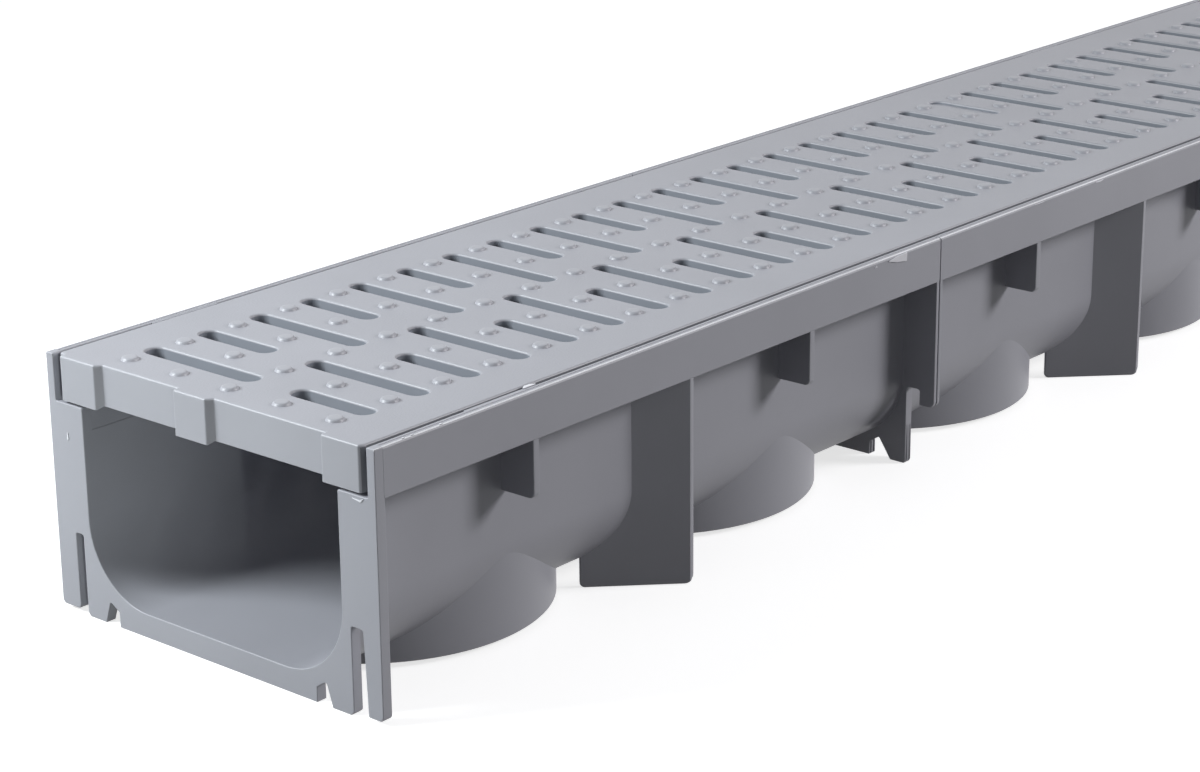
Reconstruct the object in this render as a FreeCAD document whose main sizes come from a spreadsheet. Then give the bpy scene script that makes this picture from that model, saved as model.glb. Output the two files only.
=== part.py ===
import FreeCAD, Part, Sketcher
import os

# Channel drain: a moulded drain channel, one metre long, with a slotted grating that lies in its rim.
# X runs along the channel, Y across it and Z up.  The origin is at the middle of the base.

doc = FreeCAD.newDocument("channel_drain")


# ---------------------------------------------------------------- driving dimensions, in millimetres
DIMENSIONS = {
    # the whole drain
    "length": 1000, "width": 128, "height": 76.5,
    # trough
    "clear_width": 100, "trough_wall": 2, "floor_height": 7.2, "corner_radius": 22.5,
    # rim round the grating
    "rim_wall": 3, "seat_depth": 12, "shelf_wall": 2.1, "end_seat_drop": 1.8, "rim_round": 0.9,
    "rim_line_inset": 1.7, "rim_line": 0.5,
    # lugs that pinch the grating
    "lug_length": 25, "lug_height": 3, "lug_first": 49, "lug_pitch": 451, "lug_clearance": 0.1,
    # plates across the channel: one at each end and a split one at each cutting place
    "end_plate": 3.4, "plate_inset": 0.6, "web_half": 39.5, "notch_half": 43, "notch_height": 6.8,
    "notch_foot": 4.5, "finger_inner": 45.2, "finger_outer": 52, "finger_corner": 1,
    "far_slot_inner": 53, "far_slot_outer": 56.1, "far_slot_top": 24.5,
    "near_slot_inner": 53.2, "near_slot_outer": 57.5, "near_slot_foot": 58.5, "near_slot_top": 25.5,
    "hook_height": 1.2, "hook_slant": 1.4,
    "seam_plate": 3.2, "seam_first": 250, "module_pitch": 246, "seam_groove": 0.5, "seam_groove_depth": 1,
    "seam_finger_inner": 47.6, "seam_finger_outer": 53, "seam_slot_inner": 53.4, "seam_slot_outer": 58.4,
    "seam_slot_top": 26, "seam_tab_height": 20.8,
    # fins under the rim and diagonal feet
    "fin": 2.4, "fin_first": 61, "fin_drop": 17, "fin_inset": 0.2, "corner_round": 2,
    "foot_rib": 1.8, "foot_first": 127, "foot_reach": 32.2, "foot_angle": 45,
    # outlet rings under the closed floor
    "outlet_first": 62, "outlet_radius": 51.75, "outlet_wall": 2, "outlet_lift": 1.5,
    # grating
    "grating_gap": 0.5, "grating_plate": 4, "skirt_wall": 2.5, "top_round": 0.7, "panel_inset": 2,
    "bar_rib": 3, "bar_rib_lift": 2, "row_pitch": 20,
    "slot_width": 6.4, "slot_corner_across": 1.9, "slot_corner_along": 2.3, "slot_middle": 0.3, "slot_reach": 43.7,
    "slot_short_end": 14.5, "marking_depth": 1.2, "marking_row": 20,
    "stud": 5.6, "stud_height": 0.9, "stud_pitch": 20, "stud_columns": 5,
    "boss_end": 58.4, "boss_inner": 44.4, "boss_middle_far": 11.7, "boss_middle_near": 0.5,
    "boss_slant": 2.9, "boss_corner": 0.9, "boss_drop": 1,
}

dims = doc.addObject("Spreadsheet::Sheet", "dims")
dims.Label = "driving dimensions"
for row, (alias, size) in enumerate(DIMENSIONS.items(), start=1):
    dims.set(f"A{row}", alias)
    dims.set(f"B{row}", str(size))
    dims.setAlias(f"B{row}", alias)
doc.recompute()


# ---------------------------------------------------------------- helpers
def number(text):
    """The present value of a formula that reads the sheet."""
    return float(dims.evalExpression(text))


def new_body(label):
    body = doc.addObject("PartDesign::Body", label)
    body.Label = label
    return body


def origin_part(body, role):
    """An origin plane or axis of a body, such as XY_Plane or X_Axis."""
    return [feature for feature in body.Origin.OriginFeatures if feature.Role == role][0]


def new_sketch(body, name, plane, along="0"):
    """A sketch on an origin plane of its body, moved along the plane's normal by a formula."""
    sketch = body.newObject("Sketcher::SketchObject", name)
    sketch.AttachmentSupport = [(origin_part(body, plane), "")]
    sketch.MapMode = "FlatFace"
    sketch.setExpression("AttachmentOffset.Base.z", along)
    return sketch


def outline(sketch, corners):
    """Draws a closed loop, anticlockwise.  A corner is (across, up), both formulas; a third
    formula is the radius of a round edge that leaves the corner and bulges outwards."""
    first = sketch.GeometryCount
    places = [FreeCAD.Vector(number(corner[0]), number(corner[1]), 0) for corner in corners]
    total = len(corners)
    for index, corner in enumerate(corners):
        start, end = places[index], places[(index + 1) % total]
        if len(corner) == 2:
            sketch.addGeometry(Part.LineSegment(start, end), False)
            continue
        radius, chord = number(corner[2]), end - start
        bulge = radius - (radius ** 2 - (chord.Length / 2) ** 2) ** 0.5
        outwards = FreeCAD.Vector(chord.y, -chord.x, 0).normalize()
        sketch.addGeometry(Part.Arc(start, (start + end) / 2 + outwards * bulge, end), False)
    for index, corner in enumerate(corners):
        edge, following = first + index, first + (index + 1) % total
        sketch.addConstraint(Sketcher.Constraint("Coincident", edge, 2, following, 1))
        across = sketch.addConstraint(
            Sketcher.Constraint("DistanceX", -1, 1, edge, 1, places[index].x))
        sketch.setExpression(f"Constraints[{across}]", corner[0])
        up = sketch.addConstraint(
            Sketcher.Constraint("DistanceY", -1, 1, edge, 1, places[index].y))
        sketch.setExpression(f"Constraints[{up}]", corner[1])
        if len(corner) == 3:
            round_edge = sketch.addConstraint(
                Sketcher.Constraint("Radius", edge, number(corner[2])))
            sketch.setExpression(f"Constraints[{round_edge}]", corner[2])


def rectangle(sketch, left, right, low, top):
    outline(sketch, [(left, low), (right, low), (right, top), (left, top)])


def circle(sketch, across, up, radius):
    edge = sketch.addGeometry(
        Part.Circle(FreeCAD.Vector(number(across), number(up), 0), FreeCAD.Vector(0, 0, 1), number(radius)),
        False)
    for kind, formula in (("DistanceX", across), ("DistanceY", up)):
        rule = sketch.addConstraint(Sketcher.Constraint(kind, -1, 1, edge, 3, number(formula)))
        sketch.setExpression(f"Constraints[{rule}]", formula)
    rule = sketch.addConstraint(Sketcher.Constraint("Radius", edge, number(radius)))
    sketch.setExpression(f"Constraints[{rule}]", radius)


def mirror_image(corners):
    """The same loop on the other side of the vertical axis, again anticlockwise."""
    total = len(corners)
    image = []
    for index in range(total - 1, -1, -1):
        before = corners[index - 1]
        image.append((f"-({corners[index][0]})", corners[index][1]) + tuple(before[2:]))
    return image


def pad(body, name, sketch, length, middle=False, down=False):
    feature = body.newObject("PartDesign::Pad", name)
    feature.Profile = sketch
    feature.SideType = "Symmetric" if middle else "One side"
    feature.Reversed = down
    feature.setExpression("Length", length)
    return feature


def pocket(body, name, sketch, length=None, middle=False, forward=False):
    """Cuts against the sketch's normal, or along it if forward, and right through without a length."""
    feature = body.newObject("PartDesign::Pocket", name)
    feature.Profile = sketch
    feature.SideType = "Symmetric" if middle else "One side"
    feature.Reversed = forward
    if length is None:
        feature.Type = "ThroughAll"
    else:
        feature.setExpression("Length", length)
    return feature


def repeat(body, name, features, pitch, count, across_pitch=None, across_count=None):
    """Repeats features along X and, if asked, along Y too."""
    feature = body.newObject("PartDesign::LinearPattern", name)
    feature.Originals = features
    feature.Direction = (origin_part(body, "X_Axis"), [""])
    feature.Mode = "Spacing"
    feature.setExpression("Offset", pitch)
    feature.setExpression("Occurrences", count)
    if across_count is not None:
        feature.Direction2 = (origin_part(body, "Y_Axis"), [""])
        feature.Mode2 = "Spacing"
        feature.setExpression("Offset2", across_pitch)
        feature.setExpression("Occurrences2", across_count)
    body.Tip = feature
    return feature


def at_both_ends(body, name, features):
    """Mirrors features made at the near end to the far end."""
    feature = body.newObject("PartDesign::Mirrored", name)
    feature.Originals = features
    feature.MirrorPlane = (origin_part(body, "YZ_Plane"), [""])
    body.Tip = feature
    return feature


# ---------------------------------------------------------------- formulas that several features share
HALF = "dims.width / 2"
NEAR_END = "-dims.length / 2"
TOP = "dims.height"
SHELF_TOP = "(dims.height - dims.seat_depth)"
BAND_BOTTOM = "(dims.height - dims.seat_depth - dims.shelf_wall)"
UNDER_BAND = "(dims.height - dims.seat_depth - dims.shelf_wall / 2)"
SEAT_HALF = "(dims.width / 2 - dims.rim_wall)"
PLATE_HALF = "(dims.width / 2 - dims.plate_inset)"
CORNER_TOP = "(dims.floor_height + dims.corner_radius)"
FLAT_HALF = "(dims.clear_width / 2 - dims.corner_radius)"
OUTER_HALF = "(dims.clear_width / 2 + dims.trough_wall)"
# the last cutting place stays at least half a module away from the far end
SEAM_COUNT = "floor((dims.length - dims.seam_first) / dims.module_pitch - 0.5) + 1"


# ---------------------------------------------------------------- channel body
def trough_block(body):
    """The outer form of trough and rim, filled, between the end plates."""
    side = [
        (FLAT_HALF, "dims.floor_height - dims.trough_wall", "dims.corner_radius + dims.trough_wall"),
        (OUTER_HALF, CORNER_TOP),
        (OUTER_HALF, BAND_BOTTOM),
        (HALF, BAND_BOTTOM),
        (HALF, f"{TOP} - dims.rim_round", "dims.rim_round"),
        (f"{HALF} - dims.rim_round", TOP),
    ]
    sketch = new_sketch(body, "block_section", "YZ_Plane", f"{NEAR_END} + dims.end_plate")
    outline(sketch, side + mirror_image(side))
    pad(body, "block", sketch, "dims.length - 2 * dims.end_plate")


def end_plates(body):
    """The plate at each end: a web under the trough and two fingers a side, which grip the next drain."""
    web = [
        ("dims.web_half", "0"),
        ("dims.web_half", "dims.notch_foot"),
        ("dims.notch_half", "dims.notch_height"),
        ("dims.finger_inner", "0"),
        ("dims.finger_outer", "0"),
    ]
    far = web + [
        ("dims.far_slot_inner", "dims.finger_corner"),
        ("dims.far_slot_inner", "dims.far_slot_top"),
        ("dims.far_slot_outer", "dims.far_slot_top"),
        ("dims.far_slot_outer", "dims.hook_height + dims.hook_slant", "dims.hook_slant"),
        ("dims.far_slot_outer + dims.hook_slant", "dims.hook_height"),
        (f"{PLATE_HALF} - dims.hook_slant", "dims.hook_height", "dims.hook_slant"),
        (PLATE_HALF, "dims.hook_height + dims.hook_slant"),
        (PLATE_HALF, TOP),
    ]
    near = web + [
        ("dims.near_slot_inner", "dims.finger_corner"),
        ("dims.near_slot_inner", "dims.near_slot_top"),
        ("dims.near_slot_outer", "dims.near_slot_top"),
        ("dims.near_slot_foot", "dims.hook_height + dims.hook_slant"),
        ("dims.near_slot_foot", "dims.hook_height"),
        (f"{PLATE_HALF} - dims.hook_slant", "dims.hook_height", "dims.hook_slant"),
        (PLATE_HALF, "dims.hook_height + dims.hook_slant"),
        (PLATE_HALF, TOP),
    ]
    sketch = new_sketch(body, "end_plate_section", "YZ_Plane", NEAR_END)
    outline(sketch, far + mirror_image(near))
    plate = pad(body, "end_plate", sketch, "dims.end_plate")
    at_both_ends(body, "end_plates", [plate])


def seam_plates(body):
    """A double plate at each place where the drain may be cut to a shorter length."""
    side = [
        ("dims.web_half", "0"),
        ("dims.web_half", "dims.notch_foot"),
        ("dims.notch_half", "dims.notch_height"),
        ("dims.seam_finger_inner", "0"),
        ("dims.seam_finger_outer", "0"),
        ("dims.seam_slot_inner", "dims.finger_corner"),
        ("dims.seam_slot_inner", "dims.seam_slot_top"),
        ("dims.seam_slot_outer", "dims.seam_slot_top"),
        ("dims.seam_slot_outer", "dims.seam_tab_height"),
        (f"{PLATE_HALF} - dims.corner_round", "dims.seam_tab_height", "dims.corner_round"),
        (PLATE_HALF, "dims.seam_tab_height + dims.corner_round"),
        (PLATE_HALF, UNDER_BAND),
    ]
    sketch = new_sketch(body, "seam_section", "YZ_Plane", f"{NEAR_END} + dims.seam_first")
    outline(sketch, side + mirror_image(side))
    plate = pad(body, "seam_plate", sketch, "dims.seam_plate", middle=True)
    repeat(body, "seam_plates", [plate], "dims.module_pitch", SEAM_COUNT)


def fins(body):
    """Short fins under the rim, in pairs."""
    low = f"{BAND_BOTTOM} - dims.fin_drop"
    edge = f"({HALF} - dims.fin_inset)"
    root = "dims.clear_width / 2 + dims.trough_wall / 2"
    side = [
        (root, low),
        (f"{edge} - dims.corner_round", low, "dims.corner_round"),
        (edge, f"{low} + dims.corner_round"),
        (edge, UNDER_BAND),
        (root, UNDER_BAND),
    ]
    sketch = new_sketch(body, "fin_section", "YZ_Plane", f"{NEAR_END} + dims.fin_first")
    outline(sketch, side)
    outline(sketch, mirror_image(side))
    pair = pad(body, "fin_pair", sketch, "dims.fin", middle=True)
    repeat(body, "fins", [pair], "dims.module_pitch / 2",
           "floor((dims.length - dims.fin_first - dims.end_plate - dims.fin) * 2 / dims.module_pitch) + 1")


def feet(body):
    """Diagonal ribs from the rim down to the base, in pairs that close towards the near end."""
    pair = []
    for name, side in (("far_foot", 1), ("near_foot", -1)):
        sketch = new_sketch(body, f"{name}_section", "XZ_Plane")
        sketch.AttachmentOffset = FreeCAD.Placement(
            FreeCAD.Vector(0, 0, 0),
            FreeCAD.Rotation(FreeCAD.Vector(0, side, 0), number("dims.foot_angle")))
        sketch.setExpression("AttachmentOffset.Rotation.Angle", "dims.foot_angle")
        sketch.setExpression("AttachmentOffset.Base.x", f"{NEAR_END} + dims.foot_first")
        sketch.setExpression("AttachmentOffset.Base.z",
                             f"{-side} * ({HALF} - dims.foot_rib / 2 * cos(dims.foot_angle * 1deg))")
        outline(sketch, [
            ("dims.corner_round - dims.foot_reach", "0"),
            ("-dims.corner_round", "0"),
            ("0", "dims.corner_round"),
            ("0", UNDER_BAND),
            ("-dims.foot_reach", UNDER_BAND),
            ("-dims.foot_reach", "dims.corner_round"),
        ])
        pair.append(pad(body, name, sketch, "dims.foot_rib", middle=True))
    repeat(body, "feet", pair, "dims.module_pitch",
           "floor((dims.length - dims.foot_first - dims.end_plate - dims.foot_rib) / dims.module_pitch) + 1")


def outlets(body):
    """Rings under the closed floor, where an outlet may be cut through and a pipe fitted."""
    sketch = new_sketch(body, "outlet_plan", "XY_Plane", "dims.outlet_lift")
    middle = f"{NEAR_END} + dims.outlet_first"
    circle(sketch, middle, "0", "dims.outlet_radius")
    circle(sketch, middle, "0", "dims.outlet_radius - dims.outlet_wall")
    ring = pad(body, "outlet", sketch, f"{CORNER_TOP} - dims.outlet_lift")
    repeat(body, "outlets", [ring], "dims.module_pitch / 2",
           "floor((dims.length - dims.outlet_first - dims.outlet_radius) * 2 / dims.module_pitch) + 1")


def water_way(body):
    """Hollows the trough and the grating's seat, then lowers the seat through each end plate."""
    side = [
        (FLAT_HALF, "dims.floor_height", "dims.corner_radius"),
        ("dims.clear_width / 2", CORNER_TOP),
        ("dims.clear_width / 2", SHELF_TOP),
        (SEAT_HALF, SHELF_TOP),
        (SEAT_HALF, TOP),
    ]
    sketch = new_sketch(body, "water_way_section", "YZ_Plane", NEAR_END)
    outline(sketch, side + mirror_image(side))
    pocket(body, "water_way", sketch, "dims.length", forward=True)
    sketch = new_sketch(body, "end_seat_section", "YZ_Plane", NEAR_END)
    rectangle(sketch, f"-{SEAT_HALF}", SEAT_HALF, f"{SHELF_TOP} - dims.end_seat_drop", TOP)
    seat = pocket(body, "end_seat", sketch, "dims.end_plate", forward=True)
    at_both_ends(body, "end_seats", [seat])


def rim_details(body):
    """Fine lines along the rim, grooves at the cutting places and lugs that pinch the grating."""
    sketch = new_sketch(body, "rim_line_section", "YZ_Plane", NEAR_END)
    line = [
        (f"{HALF} - dims.rim_line_inset - dims.rim_line", f"{TOP} - dims.rim_line"),
        (f"{HALF} - dims.rim_line_inset", f"{TOP} - dims.rim_line"),
        (f"{HALF} - dims.rim_line_inset", TOP),
        (f"{HALF} - dims.rim_line_inset - dims.rim_line", TOP),
    ]
    outline(sketch, line)
    outline(sketch, mirror_image(line))
    pocket(body, "rim_lines", sketch, "dims.length", forward=True)

    sketch = new_sketch(body, "seam_groove_section", "YZ_Plane", f"{NEAR_END} + dims.seam_first")
    groove = [
        (f"{HALF} - dims.seam_groove_depth", "0"),
        (HALF, "0"),
        (HALF, TOP),
        (SEAT_HALF, TOP),
        (SEAT_HALF, f"{TOP} - dims.seam_groove_depth"),
        (f"{HALF} - dims.seam_groove_depth", f"{TOP} - dims.seam_groove_depth"),
    ]
    outline(sketch, groove)
    outline(sketch, mirror_image(groove))
    cut = pocket(body, "seam_groove", sketch, "dims.seam_groove", middle=True)
    repeat(body, "seam_grooves", [cut], "dims.module_pitch", SEAM_COUNT)

    sketch = new_sketch(body, "lug_plan", "XY_Plane", f"{TOP} - dims.lug_height")
    lug = [
        (f"{NEAR_END} + dims.lug_first - dims.lug_length / 2",
         f"{SEAT_HALF} - dims.grating_gap + dims.lug_clearance"),
        (f"{NEAR_END} + dims.lug_first + dims.lug_length / 2",
         f"{SEAT_HALF} - dims.grating_gap + dims.lug_clearance"),
        (f"{NEAR_END} + dims.lug_first + dims.lug_length / 2", f"{SEAT_HALF} + dims.grating_gap"),
        (f"{NEAR_END} + dims.lug_first - dims.lug_length / 2", f"{SEAT_HALF} + dims.grating_gap"),
    ]
    outline(sketch, lug)
    outline(sketch, [(across, f"-({up})") for across, up in reversed(lug)])
    pair = pad(body, "lug_pair", sketch, "dims.lug_height")
    repeat(body, "lugs", [pair], "dims.lug_pitch",
           "floor((dims.length - dims.lug_first - dims.lug_length) / dims.lug_pitch) + 1")


def make_channel_body():
    body = new_body("channel_body")
    trough_block(body)
    end_plates(body)
    seam_plates(body)
    fins(body)
    feet(body)
    outlets(body)
    water_way(body)
    rim_details(body)
    return body


# ---------------------------------------------------------------- grating
ROWS = "(floor(dims.length / dims.row_pitch) - 1)"
FIRST_ROW = f"(-({ROWS} - 1) * dims.row_pitch / 2)"
GRATING_HALF = "(dims.width / 2 - dims.rim_wall - dims.grating_gap)"
GRATING_TOP = "dims.seat_depth"
UNDERSIDE = "(dims.seat_depth - dims.grating_plate)"
INSIDE_HALF = "(dims.width / 2 - dims.rim_wall - dims.grating_gap - dims.skirt_wall)"


def cover(body):
    """The top plate with a skirt down each side."""
    side = [
        (INSIDE_HALF, UNDERSIDE),
        (INSIDE_HALF, "0"),
        (GRATING_HALF, "0"),
        (GRATING_HALF, f"{GRATING_TOP} - dims.top_round", "dims.top_round"),
        (f"{GRATING_HALF} - dims.top_round", GRATING_TOP),
    ]
    sketch = new_sketch(body, "cover_section", "YZ_Plane", f"{NEAR_END} + dims.panel_inset")
    outline(sketch, side + mirror_image(side))
    pad(body, "cover", sketch, "dims.length - 2 * dims.panel_inset")


def walls_and_ribs(body):
    """A wall across each end, and a rib under each bar between two rows of slots."""
    middle = "dims.grating_plate / 2"
    across = f"({INSIDE_HALF} + dims.skirt_wall / 2)"
    sketch = new_sketch(body, "end_wall_section", "YZ_Plane", f"{NEAR_END} + dims.panel_inset")
    rectangle(sketch, f"-{across}", across, "0", f"{UNDERSIDE} + {middle}")
    wall = pad(body, "end_wall", sketch, "dims.skirt_wall")
    at_both_ends(body, "end_walls", [wall])
    sketch = new_sketch(body, "bar_rib_section", "YZ_Plane", f"{FIRST_ROW} - dims.row_pitch / 2")
    rectangle(sketch, f"-{across}", across, "dims.bar_rib_lift", f"{UNDERSIDE} + {middle}")
    rib = pad(body, "bar_rib", sketch, "dims.bar_rib", middle=True)
    repeat(body, "bar_ribs", [rib], "dims.row_pitch", f"{ROWS} + 1")


def bosses(body):
    """Three blocks on each end wall: square on one side, slanted on the other."""
    sketch = new_sketch(body, "boss_plan", "XY_Plane", "-dims.boss_drop")
    root = f"{NEAR_END} + dims.panel_inset + dims.skirt_wall / 2"
    spans = (
        ("dims.boss_inner", "dims.boss_end", "dims.boss_inner - dims.boss_slant"),
        ("-dims.boss_middle_near", "dims.boss_middle_far", "-dims.boss_middle_near - dims.boss_slant"),
        ("-dims.boss_end", "-dims.boss_inner", f"-{GRATING_HALF}"),
    )
    for near, far, foot in spans:
        outline(sketch, [
            (NEAR_END, near),
            (f"{NEAR_END} + dims.panel_inset", foot),
            (root, foot),
            (root, far),
            (f"{NEAR_END} + dims.boss_corner", far, "dims.boss_corner"),
            (NEAR_END, f"{far} - dims.boss_corner"),
        ])
    blocks = pad(body, "boss_row", sketch, f"{GRATING_TOP} + dims.boss_drop")
    at_both_ends(body, "bosses", [blocks])


def slot(sketch, along, near, far):
    """A slot across the grating.  Its ends are drawn with cut corners to keep the faces few."""
    left = f"{along} - dims.slot_width / 2"
    right = f"{along} + dims.slot_width / 2"
    outline(sketch, [
        (f"{left} + dims.slot_corner_across", near),
        (f"{right} - dims.slot_corner_across", near),
        (right, f"{near} + dims.slot_corner_along"),
        (right, f"{far} - dims.slot_corner_along"),
        (f"{right} - dims.slot_corner_across", far),
        (f"{left} + dims.slot_corner_across", far),
        (left, f"{far} - dims.slot_corner_along"),
        (left, f"{near} + dims.slot_corner_along"),
    ])


def slots(body):
    """Rows with a long and a short slot, the long one by turns on the far and on the near side."""
    long_slot = ("-dims.slot_middle", "dims.slot_reach")
    short_slot = ("dims.slot_short_end", "dims.slot_reach")
    rows = (
        ("odd_row", FIRST_ROW, long_slot, short_slot, f"floor(({ROWS} + 1) / 2)"),
        ("even_row", f"({FIRST_ROW} + dims.row_pitch)", short_slot, long_slot, f"floor({ROWS} / 2)"),
    )
    for name, along, far_side, near_side, count in rows:
        sketch = new_sketch(body, f"{name}_plan", "XY_Plane", GRATING_TOP)
        slot(sketch, along, *far_side)
        slot(sketch, along, f"-({near_side[1]})", f"-({near_side[0]})")
        row = pocket(body, name, sketch)
        repeat(body, f"{name}s", [row], "2 * dims.row_pitch", count)


def marking_panel(body):
    """A floor that closes one short slot just below the top."""
    sketch = new_sketch(body, "marking_plan", "XY_Plane", UNDERSIDE)
    along = f"({FIRST_ROW} + (dims.marking_row - 1) * dims.row_pitch)"
    rectangle(sketch,
              f"{along} - dims.slot_width", f"{along} + dims.slot_width",
              "dims.slot_short_end - dims.slot_width / 2", "dims.slot_reach + dims.slot_width / 2")
    pad(body, "marking_panel", sketch, "dims.grating_plate - dims.marking_depth")


def studs(body):
    """Small pointed studs in rows between the slots."""
    point = body.newObject("PartDesign::AdditiveWedge", "stud")
    point.AttachmentSupport = [(origin_part(body, "XY_Plane"), "")]
    point.MapMode = "FlatFace"
    point.AttachmentOffset = FreeCAD.Placement(
        FreeCAD.Vector(0, 0, 0), FreeCAD.Rotation(FreeCAD.Vector(1, 0, 0), 90))
    point.setExpression("AttachmentOffset.Base.x", f"{FIRST_ROW} - dims.row_pitch / 2")
    point.setExpression("AttachmentOffset.Base.y", "-(dims.stud_columns - 1) / 2 * dims.stud_pitch")
    point.setExpression("AttachmentOffset.Base.z", GRATING_TOP)
    for low, high in (("Xmin", "Xmax"), ("Zmin", "Zmax")):
        point.setExpression(low, "-dims.stud / 2")
        point.setExpression(high, "dims.stud / 2")
    for tip in ("X2min", "X2max", "Z2min", "Z2max", "Ymin"):
        setattr(point, tip, 0)
    point.setExpression("Ymax", "dims.stud_height")
    repeat(body, "studs", [point], "dims.row_pitch", f"{ROWS} + 1", "dims.stud_pitch", "dims.stud_columns")


def make_grating():
    body = new_body("grating")
    cover(body)
    walls_and_ribs(body)
    bosses(body)
    slots(body)
    marking_panel(body)
    studs(body)
    body.setExpression("Placement.Base.z", SHELF_TOP)
    return body


# ---------------------------------------------------------------- build, check and write
def main():
    bodies = [make_channel_body(), make_grating()]
    doc.recompute()
    for item in doc.Objects:
        if "Invalid" in item.State or "Error" in item.State:
            raise RuntimeError(f"{item.Name} failed: {item.State}")
    os.makedirs("parts", exist_ok=True)
    for body in bodies:
        if body.Shape.isNull() or not body.Shape.isValid():
            raise RuntimeError(f"{body.Label} has no sound shape")
        body.Shape.exportStep(f"parts/{body.Label}.step")
        print(body.Label, len(body.Shape.Solids), round(body.Shape.Volume / 1000, 1), body.Shape.BoundBox)


main()
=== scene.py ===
# %% [markdown]
# # A channel drain with its grating
#
# The real object is two plastic mouldings. The channel body is a long trough with a rim, and the grating
# lies loose in that rim. The frame already holds both as plain solids at their real size. Here each gets
# a mesh with the soft edges and round studs that a mould leaves, because those small radii are what
# catches the light. Everything is in metres, and lengths are written in millimetres times MM.

# %% Load the frame
import math

import bpy
from mathutils import Matrix, Vector
from mathutils.geometry import delaunay_2d_cdt


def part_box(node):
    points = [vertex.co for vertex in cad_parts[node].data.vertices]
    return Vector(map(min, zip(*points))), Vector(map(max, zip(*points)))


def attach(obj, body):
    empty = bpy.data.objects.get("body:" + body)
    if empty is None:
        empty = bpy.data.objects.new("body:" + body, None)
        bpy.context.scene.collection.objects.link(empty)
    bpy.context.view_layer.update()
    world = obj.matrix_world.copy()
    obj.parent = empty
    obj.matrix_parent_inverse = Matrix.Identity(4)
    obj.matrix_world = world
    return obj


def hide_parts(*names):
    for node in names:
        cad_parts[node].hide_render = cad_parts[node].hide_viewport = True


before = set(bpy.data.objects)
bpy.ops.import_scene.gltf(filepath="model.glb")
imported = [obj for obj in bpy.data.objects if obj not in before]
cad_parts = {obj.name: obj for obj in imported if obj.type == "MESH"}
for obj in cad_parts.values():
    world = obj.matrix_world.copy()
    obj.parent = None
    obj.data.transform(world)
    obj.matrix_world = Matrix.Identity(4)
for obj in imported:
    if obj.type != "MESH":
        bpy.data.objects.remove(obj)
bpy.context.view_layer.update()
MM = 0.001


def put_in_scene(thing):
    bpy.context.scene.collection.objects.link(thing)
    return thing


# %% [markdown]
# ## The camera
#
# A camera is a place and three directions: right, up and backwards. Written as the columns of a matrix
# they say exactly how the camera is turned, with no angles to puzzle over. A long lens keeps the
# perspective calm, as in a catalogue picture.

# %% Place the camera
CAMERA_PLACE = Vector((-1.00111, -0.57169, 0.33243))
CAMERA_RIGHT = Vector((0.6509951, -0.7590237, -0.0094049))
CAMERA_UP = Vector((0.2481492, 0.2010895, 0.9476207))
LENS = 90.28

camera_data = bpy.data.cameras.new("camera")
camera_data.lens = LENS
camera_data.sensor_width = 36
camera_data.clip_start = 0.01
camera = put_in_scene(bpy.data.objects.new("camera", camera_data))
backwards = CAMERA_RIGHT.cross(CAMERA_UP)
turn = Matrix((CAMERA_RIGHT, CAMERA_UP, backwards)).transposed()
camera.matrix_world = Matrix.Translation(CAMERA_PLACE) @ turn.to_4x4()
bpy.context.scene.camera = camera

# %% [markdown]
# ## Sizes that both mouldings share
#
# The grating fits the rim, so both read the same few numbers. The ends, the height and the seat come from
# the frame, which keeps the meshes true to the solids.

# %% Shared sizes
body_low, body_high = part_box("channel_body")
grating_low, grating_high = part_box("grating")
NEAR_END, FAR_END = body_low.x, body_high.x
RIM_TOP = body_high.z
HALF_WIDTH = body_high.y
RIM_WALL = 3 * MM
SEAT_HALF = HALF_WIDTH - RIM_WALL
SHELF_TOP = RIM_TOP - 12 * MM
BAND_BOTTOM = SHELF_TOP - 2.1 * MM
print("length", FAR_END - NEAR_END, "rim at", RIM_TOP, "seat", SEAT_HALF)

# %% [markdown]
# ## Drawing helpers
#
# Nearly every form here is an outline pushed through a thickness. An outline is a list of corners, each
# with its own radius, and the helper turns the corners into short arcs. Moving an outline inwards by a
# hair and down by a hair, a few times over, gives a rounded edge.

# %% Turn corners into an outline
ARC_STEPS = 6
LARGE_RADIUS, LARGE_STEPS = 5 * MM, 4 * ARC_STEPS
SHARPEST_MITRE = 0.2


def rounded(corners):
    """Points of a closed anticlockwise outline. A corner is (across, up) or (across, up, radius)."""
    points = []
    total = len(corners)
    for index, corner in enumerate(corners):
        here = Vector(corner[:2])
        radius = corner[2] if len(corner) > 2 else 0
        arc_steps = ARC_STEPS if radius < LARGE_RADIUS else LARGE_STEPS
        if not radius:
            points.append(here)
            continue
        before = (Vector(corners[index - 1][:2]) - here).normalized()
        after = (Vector(corners[(index + 1) % total][:2]) - here).normalized()
        half_angle = before.angle(after) / 2
        centre = here + (before + after).normalized() * radius / math.sin(half_angle)
        start = here + before * radius / math.tan(half_angle) - centre
        end = here + after * radius / math.tan(half_angle) - centre
        sweep = start.angle_signed(end)
        for step in range(arc_steps + 1):
            points.append(centre + Matrix.Rotation(-sweep * step / arc_steps, 2) @ start)
    return points


def inset(points, depth):
    """The outline moved inwards by depth."""
    moved = []
    total = len(points)
    for index, here in enumerate(points):
        before = (here - points[index - 1]).normalized()
        after = (points[(index + 1) % total] - here).normalized()
        normal_before = Vector((before.y, -before.x))
        normal_after = Vector((after.y, -after.x))
        share = 1 + normal_before.dot(normal_after)
        moved.append(here - (normal_before + normal_after) * depth / max(share, SHARPEST_MITRE))
    return moved


def mirror_image(corners):
    """The same corners on the other side of the upright axis, still anticlockwise."""
    return [(-corner[0],) + tuple(corner[1:]) for corner in reversed(corners)]


def millimetres(corners):
    return [tuple(value * MM for value in corner) for corner in corners]


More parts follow.
